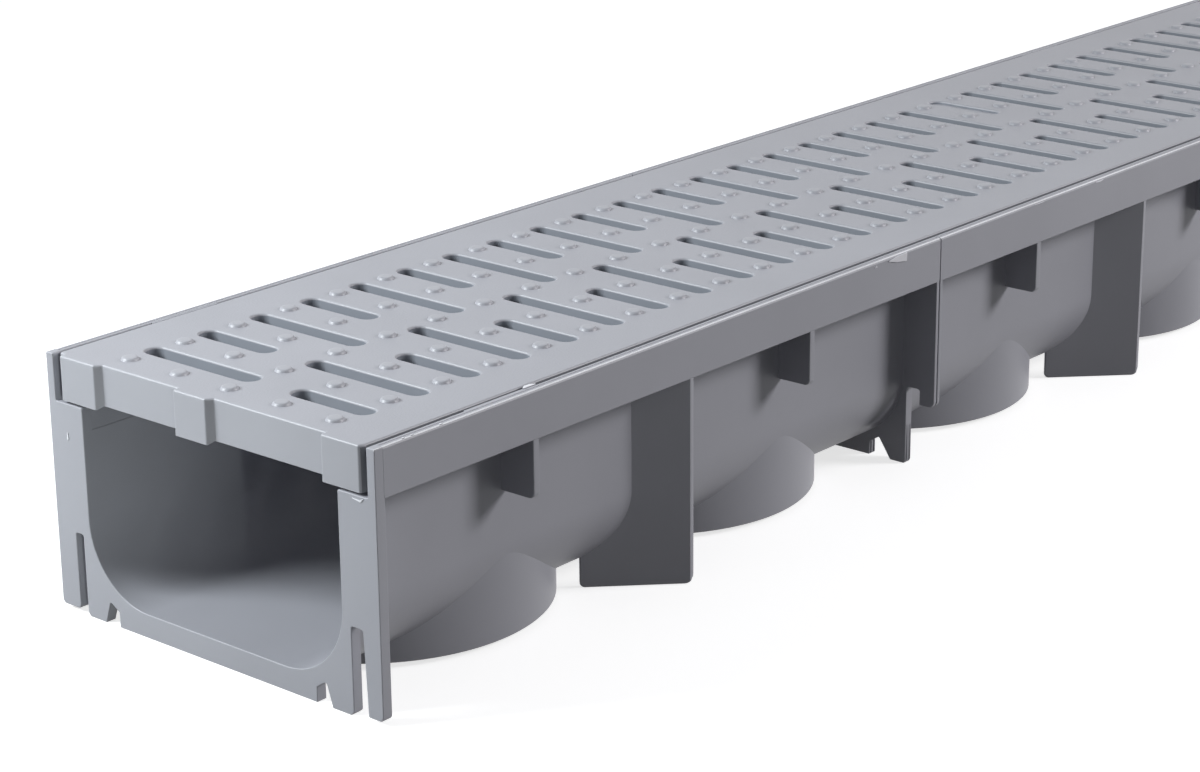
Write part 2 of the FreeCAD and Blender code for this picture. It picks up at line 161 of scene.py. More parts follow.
def standing_at(middle):
    """Places an outline across the drain, its thickness along it."""
    return lambda across, up, through: (middle + through, across, up)


print("a square with round corners has", len(rounded([(0, 0, 1), (9, 0, 1), (9, 9, 1), (0, 9, 1)])), "points")

# %% Collect rings of points into one mesh
SHARP_ANGLE = 35
INSIDE_ONLY, SAME_PLACE = 1, 1e-6


class Form:
    """Points and faces of one piece, collected ring by ring."""

    def __init__(self):
        self.points = []
        self.faces = []

    def ring(self, places):
        first = len(self.points)
        self.points.extend(places)
        return list(range(first, len(self.points)))

    def bridge(self, low, high):
        """Walls between two closed rings of the same number of points."""
        total = len(low)
        for index in range(total):
            following = (index + 1) % total
            self.faces.append((low[index], low[following], high[following], high[index]))

    def cap(self, ring):
        self.faces.append(tuple(ring))

    def plate(self, outline, thickness, edge, place, steps=3):
        """An outline pushed through a thickness, with rounded edges. place(across, up, through) gives
        the point in the frame, for through from minus to plus half the thickness."""
        half = thickness / 2
        profile = []
        for step in range(steps + 1):
            angle = math.pi / 2 * step / steps
            profile.append((edge * (1 - math.sin(angle)), -half + edge * (1 - math.cos(angle))))
        profile += [(depth, -through) for depth, through in reversed(profile)]
        rings = []
        for depth, through in profile:
            rings.append(self.ring([place(p.x, p.y, through) for p in inset(outline, depth)]))
        drawn = inset(outline, edge)
        self.fill([(rings[0], drawn)], up=False)
        for low, high in zip(rings, rings[1:]):
            self.bridge(low, high)
        self.fill([(rings[-1], drawn)])

    def fill(self, loops, up=True):
        """Flat faces between the first loop and the others, its holes. A loop is a ring of point
        numbers with the places of those points in plan."""
        numbers = [number for ring, _ in loops for number in ring]
        plan = [Vector(place[:2]) for _, places in loops for place in places]
        outlines = []
        for ring, _ in loops:
            first = sum(len(outline) for outline in outlines)
            outlines.append(tuple(range(first, first + len(ring))))
        found = delaunay_2d_cdt(plan, [], outlines, INSIDE_ONLY, SAME_PLACE)
        own = []
        for place, sources in zip(found[0], found[3]):
            if sources:
                nearest = sources[0]
            else:
                nearest = min(range(len(plan)), key=lambda n: (plan[n] - place).length)
            own.append(numbers[nearest])
        for triangle, inside in zip(found[2], found[5]):
            corners = [own[corner] for corner in triangle]
            if list(inside) == [0] and len(set(corners)) == 3:
                self.faces.append(tuple(corners) if up else tuple(reversed(corners)))

    def piece(self, name):
        mesh = bpy.data.meshes.new(name)
        mesh.from_pydata([tuple(p) for p in self.points], [], self.faces)
        mesh.validate()
        mesh.polygons.foreach_set("use_smooth", [True] * len(mesh.polygons))
        mesh.set_sharp_from_angle(angle=math.radians(SHARP_ANGLE))
        piece = put_in_scene(bpy.data.objects.new(name, mesh))
        smooth = piece.modifiers.new("even_normals", "WEIGHTED_NORMAL")
        smooth.keep_sharp = True
        smooth.weight = 100
        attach(piece, "root")
        print(name, len(mesh.vertices), "points", len(mesh.polygons), "faces")
        return piece


# %% [markdown]
# ## The grating
#
# The grating's top is one flat face with slots and studs in it. Cutting the holes with boolean tools would
# leave long messy faces, so the top is drawn in plan instead: one outer outline, a loop round each slot
# and a circle under each stud. The space between the loops is filled with triangles, and rings of points
# carry each slot's edge over into its wall and each stud's foot up into a low dome. All loops share their
# points with the flat face, so the mesh is closed and light runs smoothly over every edge.

# %% Grating sizes
GRATING_BOTTOM = SHELF_TOP
PLATE = 4 * MM
UNDERSIDE = RIM_TOP - PLATE
DRAFT, NEAR_PLAY = 1.1 * MM, 0.2 * MM
NEAR_HALF, FAR_HALF = grating_high.y - NEAR_PLAY - DRAFT, grating_high.y
SKIRT = 2.5 * MM
TOP_EDGE = 0.7 * MM
PANEL_INSET = 2 * MM
ROW_PITCH = 20 * MM
ROWS = round((FAR_END - NEAR_END) / ROW_PITCH) - 1
SLOT_WIDTH = 6.4 * MM
LONG_SLOT = (-0.3 * MM, 43.7 * MM)
SHORT_SLOT = (14.5 * MM, 43.7 * MM)
MARKING_ROW, MARKING_DEPTH = 20, 1.2 * MM
STUD_RADIUS, STUD_HEIGHT, STUD_PITCH = 2.6 * MM, grating_high.z - RIM_TOP, 20 * MM
BOSS_DROP = SHELF_TOP - grating_low.z
print(ROWS, "rows of slots", ROWS + 1, "rows of studs", "studs stand", round(STUD_HEIGHT / MM, 2), "mm high")

# %% Outline with three blocks at each end
# Each block in millimetres across: its near and far edge, and where its slanted near side leaves the
# panel. The first block's near side starts at the grating's own corner instead.
BOSS_SPANS = ((-58.3, -44.4, None), (-0.9, 11.7, -2.6), (44.0, 58.3, 42.3))
BOSS_EDGE, SLANT_START, BOSS_INSIDE = 0.8 * MM, 0.5 * MM, 0.2 * MM


def end_corners(face, panel):
    """Corners along one end wall, from the near side to the far side."""
    corners = [(panel, -NEAR_HALF)]
    for near, far, slant in BOSS_SPANS:
        if slant is not None:
            corners.append((panel, slant * MM, SLANT_START))
        corners += [(face, near * MM, BOSS_EDGE), (face, far * MM, BOSS_EDGE), (panel, far * MM, BOSS_INSIDE)]
    corners.append((panel, FAR_HALF, BOSS_EDGE))
    return corners


near_corners = end_corners(NEAR_END, NEAR_END + PANEL_INSET)
far_corners = end_corners(FAR_END, FAR_END - PANEL_INSET)
grating_outline = rounded(far_corners + near_corners[::-1])
print("the grating's outline has", len(grating_outline), "points")

# %% Every slot as an outline


def slot_outline(along, near, far):
    half = SLOT_WIDTH / 2
    arc = half * 0.999  # a hair under half the width, so that the two arcs of an end stay apart
    return rounded([(along - half, near, arc), (along + half, near, arc),
                    (along + half, far, arc), (along - half, far, arc)])


slots = []
marked = None
for row in range(1, ROWS + 1):
    along = (row - (ROWS + 1) / 2) * ROW_PITCH
    far_side, near_side = (LONG_SLOT, SHORT_SLOT) if row % 2 else (SHORT_SLOT, LONG_SLOT)
    slots.append(slot_outline(along, *far_side))
    if row == MARKING_ROW:
        marked = len(slots) - 1
    slots.append(slot_outline(along, -near_side[1], -near_side[0]))
print(len(slots), "slots, one of them closed")

# %% Build the grating's shell
EDGE_STEPS = 4
IN_FRONT, DRAFT_BLEND, INNER_ROUND = 0.3 * MM, 0.8 * MM, 1 * MM
edge_profile = []
for step in range(EDGE_STEPS + 1):
    angle = math.pi / 2 * step / EDGE_STEPS
    edge_profile.append((TOP_EDGE * (1 - math.sin(angle)), TOP_EDGE * (1 - math.cos(angle))))


def boss_depth(place):
    """How far below the shelf the outline reaches: lower where a block stands in front of the panel."""
    in_front = PANEL_INSET - min(place.x - NEAR_END, FAR_END - place.x)
    return BOSS_DROP if in_front > IN_FRONT else 0


def drafted(place):
    """The near side leans out towards the foot, which leaves a gap beside the rim at the top."""
    share = min(max((-place.y - NEAR_HALF + DRAFT_BLEND) / DRAFT_BLEND, 0), 1)
    return Vector((place.x, place.y - DRAFT * share))


shell = Form()
rings = []
for depth, drop in edge_profile:
    places = inset(grating_outline, depth)
    rings.append((shell.ring([(p.x, p.y, RIM_TOP - drop) for p in places]), places))
top_ring = rings[0]
for (upper, _), (lower, _) in zip(rings, rings[1:]):
    shell.bridge(lower, upper)

skirt_outline = [drafted(p) for p in grating_outline]
skirt_foot = shell.ring([(p.x, p.y, GRATING_BOTTOM - boss_depth(p)) for p in skirt_outline])
shell.bridge(skirt_foot, rings[-1][0])

inner_near_end, inner_far_end = NEAR_END + PANEL_INSET + SKIRT, FAR_END - PANEL_INSET - SKIRT
inner_near_side, inner_far_side = -NEAR_HALF + SKIRT, FAR_HALF - SKIRT
inner = rounded([(inner_near_end, inner_near_side, INNER_ROUND),
                 (inner_far_end, inner_near_side, INNER_ROUND),
                 (inner_far_end, inner_far_side, INNER_ROUND),
                 (inner_near_end, inner_far_side, INNER_ROUND)])
inner_low = shell.ring([(p.x, p.y, GRATING_BOTTOM) for p in inner])
inner_high = shell.ring([(p.x, p.y, UNDERSIDE) for p in inner])
shell.bridge(inner_high, inner_low)
shell.fill([(skirt_foot, skirt_outline), (inner_low, inner)], up=False)

top_loops, under_loops = [top_ring], [(inner_high, inner)]
for number, outline in enumerate(slots):
    previous = None
    for depth, drop in edge_profile:
        places = inset(outline, -depth)
        ring = shell.ring([(p.x, p.y, RIM_TOP - drop) for p in places])
        if previous is None:
            top_loops.append((ring, places))
        else:
            shell.bridge(previous, ring)
        previous = ring
    if number == marked:
        panel = shell.ring([(p.x, p.y, RIM_TOP - MARKING_DEPTH) for p in outline])
        shell.bridge(previous, panel)
        shell.cap(panel)
        continue
    bottom = shell.ring([(p.x, p.y, UNDERSIDE) for p in outline])
    shell.bridge(previous, bottom)
    under_loops.append((bottom, outline))
print("shell so far", len(shell.points), "points")

# %% Add the studs
STUD_SIDES, STUD_COLUMNS = 20, range(-2, 3)
STUD_PROFILE = ((0.94, 0.35), (0.86, 0.72), (0.78, 0.9), (0.66, 0.98), (0.4, 1.0))


def stud_ring(centre, radius, height):
    return [(centre.x + radius * math.cos(turn), centre.y + radius * math.sin(turn), height)
            for turn in (math.tau * side / STUD_SIDES for side in range(STUD_SIDES))]


for row in range(ROWS + 1):
    for column in STUD_COLUMNS:
        centre = Vector(((row - ROWS / 2) * ROW_PITCH, column * STUD_PITCH))
        base = stud_ring(centre, STUD_RADIUS, RIM_TOP)
        ring = shell.ring(base)
        top_loops.append((ring, base))
        for share, rise in STUD_PROFILE:
            higher = shell.ring(stud_ring(centre, STUD_RADIUS * share, RIM_TOP + STUD_HEIGHT * rise))
            shell.bridge(ring, higher)
            ring = higher
        shell.cap(ring)
shell.fill(top_loops)
shell.fill(under_loops, up=False)
print(len(top_loops) - 1, "holes in the top face")

# %% Add the ribs under the bars
RIB, RIB_LIFT, RIB_EDGE = 3 * MM, 2 * MM, 0.4 * MM
near, far = -NEAR_HALF + SKIRT / 2, FAR_HALF - SKIRT / 2
rib_outline = rounded([(near, GRATING_BOTTOM + RIB_LIFT), (far, GRATING_BOTTOM + RIB_LIFT),
                       (far, UNDERSIDE + PLATE / 2), (near, UNDERSIDE + PLATE / 2)])
for row in range(ROWS + 1):
    shell.plate(rib_outline, RIB, RIB_EDGE, standing_at((row - ROWS / 2) * ROW_PITCH), steps=2)
grating = shell.piece("grating_cover")
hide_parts("grating")

# %% [markdown]
# ## The channel body
#
# The body is one moulding, but its forms are simple: a section that runs the whole length, plates across
# it, fins and diagonal feet under the rim, and rings under the floor. Each is drawn as a closed form that
# ends inside the wall it grows from, so the joints between them look moulded. Only the groove at each
# cutting place interrupts the long section, so that section is made bay by bay.

# %% Section of the trough and rim
TROUGH_HALF, TROUGH_WALL = 50 * MM, 2 * MM
FLOOR, CORNER = 7.2 * MM, 22.5 * MM
RIM_ROUND, GROOVE_DEPTH, GROOVE = 0.9 * MM, 1 * MM, 0.5 * MM
LINE_OUTER, LINE_WIDTH, LINE_DEPTH = HALF_WIDTH - 1.5 * MM, 0.35 * MM, 0.2 * MM
OUTER_HALF = TROUGH_HALF + TROUGH_WALL
STEP_HEIGHT, WALL_STEP = 55.4 * MM, 0.3 * MM
SEAT_PLAY, LINE_ROUND, INNER_RIM_ROUND = 0.15 * MM, 0.12 * MM, 0.3 * MM
BAND_ROUND, SHELF_ROUND = 0.4 * MM, 0.5 * MM

RIM_SIDE = [
    (HALF_WIDTH, RIM_TOP, RIM_ROUND),
    (LINE_OUTER, RIM_TOP, LINE_ROUND),
    (LINE_OUTER, RIM_TOP - LINE_DEPTH),
    (LINE_OUTER - LINE_WIDTH, RIM_TOP - LINE_DEPTH),
    (LINE_OUTER - LINE_WIDTH, RIM_TOP, LINE_ROUND),
    (SEAT_HALF + SEAT_PLAY, RIM_TOP, INNER_RIM_ROUND),
]
GROOVE_SIDE = [
    (HALF_WIDTH - GROOVE_DEPTH, RIM_TOP - GROOVE_DEPTH, INNER_RIM_ROUND),
    (SEAT_HALF, RIM_TOP - GROOVE_DEPTH, INNER_RIM_ROUND),
]


def trough_side(skin=0.0):
    """Corners of the far half of the section. skin is how far the outer faces are cut back."""
    return [
        (OUTER_HALF - skin, FLOOR - TROUGH_WALL + skin, CORNER + TROUGH_WALL - skin),
        (OUTER_HALF - skin, BAND_BOTTOM + skin, BAND_ROUND),
        (HALF_WIDTH - skin, BAND_BOTTOM + skin, BAND_ROUND),
    ] + (GROOVE_SIDE if skin else RIM_SIDE) + [
        (SEAT_HALF + SEAT_PLAY, SHELF_TOP, SHELF_ROUND),
        (TROUGH_HALF + WALL_STEP, SHELF_TOP, SHELF_ROUND),
        (TROUGH_HALF + WALL_STEP, STEP_HEIGHT + WALL_STEP),
        (TROUGH_HALF, STEP_HEIGHT),
        (TROUGH_HALF, FLOOR, CORNER),
    ]


def section(side):
    """Both halves as one outline: out and up the far side, back through the trough, down the near side."""
    return rounded(side + mirror_image(side))


print("the section has", len(section(trough_side())), "points")

# %% Bays between the cutting places
END_PLATE, OVERLAP = 3.4 * MM, 0.3 * MM
BAYS, SEAM_FIRST, MODULE = 4, 250 * MM, 246 * MM
SEAM_PLATE = 3.2 * MM
seams = [NEAR_END + SEAM_FIRST + MODULE * index for index in range(BAYS - 1)]
body = Form()


def along_x(outline, near, far):
    """Pushes a section along the drain."""
    rings = [body.ring([(x, p.x, p.y) for p in outline]) for x in (near, far)]
    body.bridge(rings[0], rings[1])
    body.fill([(rings[0], outline)], up=False)
    body.fill([(rings[1], outline)])


bay_ends = [NEAR_END + END_PLATE - OVERLAP] + seams + [FAR_END - END_PLATE + OVERLAP]
for number, (near, far) in enumerate(zip(bay_ends, bay_ends[1:])):
    along_x(section(trough_side()),
            near + (GROOVE / 2 if number else 0), far - (GROOVE / 2 if number < len(seams) else 0))
for seam in seams:
    along_x(section(trough_side(GROOVE_DEPTH)), seam - GROOVE / 2, seam + GROOVE / 2)
print(len(bay_ends) - 1, "bays")

# %% End plates
PLATE_HALF = HALF_WIDTH - 0.05 * MM
END_SEAT, PLATE_EDGE = SHELF_TOP - 1.8 * MM, 0.3 * MM
# Corners in millimetres: across, up and radius.
WEB = [(39.5, 0, 0.4), (39.5, 4.5, 0.4), (43, 6.8, 0.6)]
FAR_FINGERS = [(45.2, 0, 0.4), (52, 0, 0.4), (53, 1, 0.4), (53, 24.5, 0.8), (56.1, 24.5, 0.8),
               (56.1, 1.2, 1.3)]
NEAR_FINGERS = [(45.2, 0, 0.4), (52, 0, 0.4), (53.2, 1, 0.4), (53.2, 25.5, 0.8), (57.5, 25.5, 0.8),
                (58.5, 1.2, 0.4)]


def end_side(fingers):
    return millimetres(WEB + fingers) + [
        (PLATE_HALF, 1.2 * MM, 1.4 * MM),
        (PLATE_HALF, RIM_TOP, 0.5 * MM),
        (SEAT_HALF, RIM_TOP, 0.4 * MM),
        (SEAT_HALF, END_SEAT, 0.4 * MM),
        (TROUGH_HALF, END_SEAT, 0.6 * MM),
        (TROUGH_HALF, FLOOR, CORNER),
    ]


end_outline = rounded(end_side(FAR_FINGERS) + mirror_image(end_side(NEAR_FINGERS)))
for middle in (NEAR_END + END_PLATE / 2, FAR_END - END_PLATE / 2):
    body.plate(end_outline, END_PLATE, PLATE_EDGE, standing_at(middle))
print("end plate drawn with", len(end_outline), "points")

# %% Double plates at the cutting places
LEAF_FOOT = 20.8  # in millimetres, as the corners are
SEAM_SIDE = millimetres(WEB + [(47.6, 0, 0.4), (53, 0, 0.4), (53.4, 1, 0.4), (53.4, 26, 1.6),
                               (58.4, 26, 0.8), (58.4, LEAF_FOOT, 0.4)])
LEAF_EDGE, CORE_EDGE, CORE_INSET = 0.2 * MM, 0.1 * MM, 0.4 * MM
ROOT_HALF = TROUGH_HALF + TROUGH_WALL / 2
ROOT_TOP = BAND_BOTTOM + 1 * MM


def seam_outline(skin):
    side = SEAM_SIDE + [
        (PLATE_HALF - skin, LEAF_FOOT * MM + skin, 2 * MM),
        (PLATE_HALF - skin, ROOT_TOP),
        (ROOT_HALF, ROOT_TOP),
        (ROOT_HALF, FLOOR - TROUGH_WALL / 2, CORNER + TROUGH_WALL / 2),
    ]
    return rounded(side + mirror_image(side))


leaf = (SEAM_PLATE - GROOVE) / 2
for seam in seams:
    for middle in (seam - (GROOVE + leaf) / 2, seam + (GROOVE + leaf) / 2):
        body.plate(seam_outline(0), leaf, LEAF_EDGE, standing_at(middle))
    body.plate(seam_outline(GROOVE_DEPTH), SEAM_PLATE - 2 * CORE_INSET, CORE_EDGE,
               standing_at(seam), steps=1)
print(len(seams), "double plates")

# %% Fins under the rim
FIN, FIN_FIRST, FIN_HALF, FIN_DROP = 2.4 * MM, 61 * MM, HALF_WIDTH - 0.2 * MM, 17 * MM
FIN_CORNER, FIN_EDGE = 2 * MM, 0.35 * MM


def other_side(outline):
    """A finished outline mirrored to the near side."""
    return [Vector((-p.x, p.y)) for p in reversed(outline)]


fin_low = BAND_BOTTOM - FIN_DROP
fin = rounded([(ROOT_HALF, fin_low), (FIN_HALF, fin_low, FIN_CORNER),
               (FIN_HALF, ROOT_TOP), (ROOT_HALF, ROOT_TOP)])
for pair in range(2 * BAYS):
    for outline in (fin, other_side(fin)):
        body.plate(outline, FIN, FIN_EDGE, standing_at(NEAR_END + FIN_FIRST + MODULE / 2 * pair))
print(4 * BAYS, "fins")

# %% Diagonal feet
FOOT, FOOT_FIRST, FOOT_REACH, FOOT_EDGE = 1.8 * MM, 127 * MM, 32.2 * MM, 0.5 * MM
FOOT_CORNERS, FOOT_STEPS, CUT_INSET = (1.5 * MM, 2.6 * MM), 8, 0.1 * MM
SLANT = math.sqrt(0.5)
foot_half = HALF_WIDTH - FOOT / 2 * SLANT
inner_end = foot_half - FOOT_REACH * SLANT
centre_across, centre_up = TROUGH_HALF - CORNER, FLOOR + CORNER
middle_radius = CORNER + TROUGH_WALL / 2
lowest_turn = math.acos((inner_end - centre_across) / middle_radius)
foot_corners = [(-FOOT_REACH, 0, FOOT_CORNERS[0]), (FOOT / 2, 0, FOOT_CORNERS[1]), (FOOT / 2, ROOT_TOP),
                ((ROOT_HALF - foot_half) / SLANT, ROOT_TOP)]
for step in range(FOOT_STEPS + 1):
    turn = lowest_turn * step / FOOT_STEPS
    across = centre_across + middle_radius * math.cos(turn)
    up = centre_up - middle_radius * math.sin(turn)
    foot_corners.append(((across - foot_half) / SLANT, up))
foot = rounded(foot_corners)
for pair in range(BAYS):
    outer_end = NEAR_END + FOOT_FIRST + MODULE * pair
    for side, outline in ((1, foot), (-1, other_side(foot))):
        along = Vector((SLANT, side * SLANT, 0)) * side
        normal = along.cross(Vector((0, 0, 1)))
        foot_place = Vector((outer_end, side * foot_half, 0))

        def on_foot(across, up, through):
            """A point of the foot; its outer end is cut off flush with the rim."""
            point = foot_place + along * across + Vector((0, 0, up)) + normal * through
            beyond = max(side * point.y - (HALF_WIDTH - CUT_INSET), 0)
            return point - along * (beyond / (side * along.y))

        body.plate(outline, FOOT, FOOT_EDGE, on_foot)
print(2 * BAYS, "feet, each reaching in to", round(inner_end / MM, 1), "mm from the middle")

# %% Rings under the floor
RING_RADIUS, RING_WALL, RING_LIFT, RING_FIRST = 51.75 * MM, 2 * MM, 1.5 * MM, 62 * MM
RING_SIDES, RING_EDGE = 128, 0.4 * MM


def wall_middle(across):
    """Height of the middle of the trough's wall at a distance from the centre line."""
    beyond = min(max(abs(across) - centre_across, 0), middle_radius)
    return centre_up - math.sqrt(middle_radius ** 2 - beyond ** 2)


RING_INNER = RING_RADIUS - RING_WALL
RING_PROFILE = ((RING_RADIUS, None), (RING_RADIUS, RING_EDGE), (RING_RADIUS - RING_EDGE, 0),
                (RING_INNER + RING_EDGE, 0), (RING_INNER, RING_EDGE), (RING_INNER, None))
for outlet in range(2 * BAYS):
    centre = NEAR_END + RING_FIRST + MODULE / 2 * outlet
    loops = []
    for radius, rise in RING_PROFILE:
        places = []
        for side in range(RING_SIDES):
            turn = math.tau * side / RING_SIDES
            across = radius * math.sin(turn)
            height = wall_middle(across) if rise is None else RING_LIFT + rise
            places.append((centre + radius * math.cos(turn), across, height))
        loops.append(body.ring(places))
    for upper, lower in zip(loops, loops[1:] + loops[:1]):
        body.bridge(lower, upper)
print(2 * BAYS, "rings")

# %% Lugs that pinch the grating
LUG_FIRST, LUG_PITCH, LUG_LENGTH, LUG_HEIGHT = 49 * MM, 451 * MM, 25 * MM, 3 * MM
LUG_PAIRS, LUG_EDGE, LUG_PLAY, LUG_ROOT = 3, 0.15 * MM, 0.1 * MM, 0.6 * MM
lug_low, lug_high = RIM_TOP - LUG_HEIGHT, RIM_TOP - LUG_PLAY
lug_inner, lug_outer = grating_high.y + LUG_PLAY, SEAT_HALF + LUG_ROOT
lug = rounded([(lug_inner, lug_low), (lug_outer, lug_low), (lug_outer, lug_high), (lug_inner, lug_high)])
for pair in range(LUG_PAIRS):
    for outline in (lug, other_side(lug)):
        body.plate(outline, LUG_LENGTH, LUG_EDGE, standing_at(NEAR_END + LUG_FIRST + LUG_PITCH * pair))
print(2 * LUG_PAIRS, "lugs")

# %% Small marks of moulding and handling


def on_the_side(across, up, through):
    return (NEAR_END + across, -HALF_WIDTH - through, up)


def on_the_end(across, up, through):
    return (NEAR_END - through, across, up)


def on_the_rim(across, up, through):
    return (NEAR_END + across, up, RIM_TOP + through)


MARK_EDGE = 0.08 * MM
# Each mark's name, the face it lies on, its thickness and its corners, in millimetres.
MARKS = [
    ("flake hanging over the rim", on_the_side, 0.7,
     [(221.3, 75.4, 0.1), (225.8, 74.2, 0.2), (231.2, 73.4, 0.3), (231.4, 76.2, 0.3), (225.5, 76, 0.2)]),
    ("speck on the rim edge", on_the_side, 0.4,
     [(214.4, 74.8, 0.1), (216.2, 74.8, 0.1), (215.6, 75.5, 0.1)]),
    ("burr beside the grating", on_the_rim, 0.5,
     [(58.6, -61.2, 0.2), (64.6, -61.2, 0.2), (62.8, -59.9, 0.3), (60.6, -59.9, 0.3)]),
    ("first bright nick", on_the_rim, 0.3, [(10.2, -63.6, 0.1), (11.6, -63.6, 0.1), (11, -63, 0.1)]),
    ("second bright nick", on_the_rim, 0.3, [(13.5, -63.6, 0.1), (14.9, -63.6, 0.1), (14.2, -63, 0.1)]),
    ("third bright nick", on_the_rim, 0.3, [(24, -63.6, 0.1), (25.8, -63.6, 0.1), (25, -62.9, 0.1)]),
    ("first scuff", on_the_side, 0.2,
     [(303, 75.7, 0.1), (309, 75.5, 0.1), (309, 75.9, 0.1), (303, 75.9, 0.1)]),
    ("second scuff", on_the_side, 0.2,
     [(340, 75.6, 0.1), (343, 75.4, 0.1), (346, 75.9, 0.1), (340, 75.9, 0.1)]),
    ("drop on the end plate", on_the_end, 0.4,
     [(56.2, 52, 0.4), (57.1, 52, 0.4), (56.8, 54.3, 0.1), (56.5, 54.3, 0.1)]),
    ("curl at the worn shelf", on_the_end, 0.4,
     [(-59.9, 62.6, 0.1), (-58.6, 61, 0.5), (-54, 61.9, 0.1), (-58.3, 61.6, 0.4)]),
]
for name, place, thickness, corners in MARKS:
    body.plate(rounded(millimetres(corners)), thickness * MM, MARK_EDGE, place, steps=1)
    print("added the", name)

# %% Make the channel's piece
channel = body.piece("channel_trough")
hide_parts("channel_body")

# %% [markdown]
# ## Plastic
#
# Both mouldings are the same kind of plastic in two greys. A moulded surface is never quite even: the
# colour drifts a little over a few centimetres, and the texture of the mould breaks up the shine. One
# function builds that from noise in object space, so it needs no picture and no unwrapping. A few faces get
# their own plastic: the top a coarser grain, the marks a pale grey, the slots' walls and the gap beside the
# rim a darker grey as painted shade, and the rim's outer edge a near-white painted highlight.

# %% A function for moulded plastic
CLOUD_SCALE, CLOUD_DETAIL, CLOUD_ENDS = 28, 5, (0.3, 0.7)
GRAIN_DETAIL, GRAIN_STRENGTH = 2, 0.35


def moulded_plastic(name, colour, roughness, drift, grain_size, grain_depth):
    material = bpy.data.materials.new(name)
    material.use_nodes = True
    nodes, links = material.node_tree.nodes, material.node_tree.links
    shader = nodes["Principled BSDF"]
    shader.inputs["Roughness"].default_value = roughness
    shader.inputs["IOR"].default_value = 1.49
    place = nodes.new("ShaderNodeTexCoord")

    cloud = nodes.new("ShaderNodeTexNoise")
    cloud.inputs["Scale"].default_value = CLOUD_SCALE
    cloud.inputs["Detail"].default_value = CLOUD_DETAIL
    links.new(place.outputs["Object"], cloud.inputs["Vector"])
    ramp = nodes.new("ShaderNodeValToRGB")
    for stop, position, share in zip(ramp.color_ramp.elements, CLOUD_ENDS, (1 - drift, 1 + drift)):
        stop.position = position
        stop.color = (*(part * share for part in colour), 1)
    links.new(cloud.outputs["Fac"], ramp.inputs["Fac"])
    links.new(ramp.outputs["Color"], shader.inputs["Base Color"])

    grain = nodes.new("ShaderNodeTexNoise")
    grain.inputs["Scale"].default_value = 1 / grain_size
    grain.inputs["Detail"].default_value = GRAIN_DETAIL
    links.new(place.outputs["Object"], grain.inputs["Vector"])
    bump = nodes.new("ShaderNodeBump")
    bump.inputs["Strength"].default_value = GRAIN_STRENGTH
    bump.inputs["Distance"].default_value = grain_depth
    links.new(grain.outputs["Fac"], bump.inputs["Height"])
    links.new(bump.outputs["Normal"], shader.inputs["Normal"])
    return material


grating.data.materials.append(moulded_plastic(
    "grating plastic", (0.36, 0.363, 0.397), 0.42, 0.03, 0.5 * MM, 0.05 * MM))
channel.data.materials.append(moulded_plastic(
    "channel plastic", (0.35, 0.352, 0.388), 0.45, 0.03, 1.2 * MM, 0.03 * MM))
print("two plastics")

# %% Give some faces their own plastic
HAIR, CHIP, GAP_MARGIN = 0.01 * MM, 0.05 * MM, 0.1 * MM
SLOTS_FROM_END, SLOTS_HALF = 8 * MM, 45 * MM
# Parts of a face's normal. Upwards it is 1 on a level face and 0 on a wall, sideways it is 1 on a side wall.
LEVEL_FROM, WALL_TO, SIDE_FROM, HIGHLIGHT_FROM, HIGHLIGHT_TO = 0.99, 0.3, 0.6, 0.2, 0.7


def tint(piece, material, chosen):
    """Gives a material to the faces for which chosen(centre, normal) is true."""
    piece.data.materials.append(material)
    count = 0
    for face in piece.data.polygons:
        if chosen(face.center, face.normal):
            face.material_index = len(piece.data.materials) - 1
            count += 1
    print(material.name, "on", count, "faces")


# The slots' walls get a darker grey: painted shade for the dim inside of each slot.
slot_painted_shade_plastic = moulded_plastic(
    "grating plastic with painted slot shade", (0.235, 0.25, 0.285), 0.55, 0.05, 0.5 * MM, 0.03 * MM)
top_plastic = moulded_plastic(
    "grating plastic with a grained top", (0.355, 0.357, 0.392), 0.5, 0.03, 0.7 * MM, 0.22 * MM)
# The grating's near side face beside the rim gets a dark grey: painted shade for the narrow gap.
gap_painted_shade_plastic = moulded_plastic(
    "grating plastic with painted gap shade", (0.13, 0.135, 0.15), 0.55, 0.05, 0.5 * MM, 0.03 * MM)
flake_plastic = moulded_plastic("pale torn plastic", (0.75, 0.75, 0.79), 0.5, 0.05, 0.5 * MM, 0.03 * MM)
# The upper part of the rim's rounded outer edges gets a near-white, glossier plastic: a painted highlight.
rim_edge_painted_highlight_plastic = moulded_plastic("rim edge with painted highlight", (0.85, 0.85, 0.88), 0.35, 0.1, 0.5 * MM, 0.05 * MM)


# Faces of the slots' walls, which get the painted shade.
def in_a_slot(centre, normal):
    inside = (NEAR_END + SLOTS_FROM_END < centre.x < FAR_END - SLOTS_FROM_END
              and abs(centre.y) < SLOTS_HALF)
    return inside and abs(normal.z) < WALL_TO and centre.z < RIM_TOP - TOP_EDGE


def on_top(centre, normal):
    return normal.z > LEVEL_FROM and abs(centre.z - RIM_TOP) < HAIR


# Faces on the upper part of the rim's outer rounding, which get the painted highlight.
def on_rim_edge(centre, normal):
    return (abs(centre.y) > HALF_WIDTH - RIM_ROUND and centre.z > RIM_TOP - RIM_ROUND
            and HIGHLIGHT_FROM < abs(normal.y) < HIGHLIGHT_TO)


# Faces of the grating's near side inside the gap, which get the painted shade.
def in_the_gap(centre, normal):
    return normal.y < -SIDE_FROM and centre.y < GAP_MARGIN - NEAR_HALF


def stands_proud(centre, normal):
    return centre.x < NEAR_END - CHIP or centre.y < -HALF_WIDTH - CHIP or centre.z > RIM_TOP + CHIP


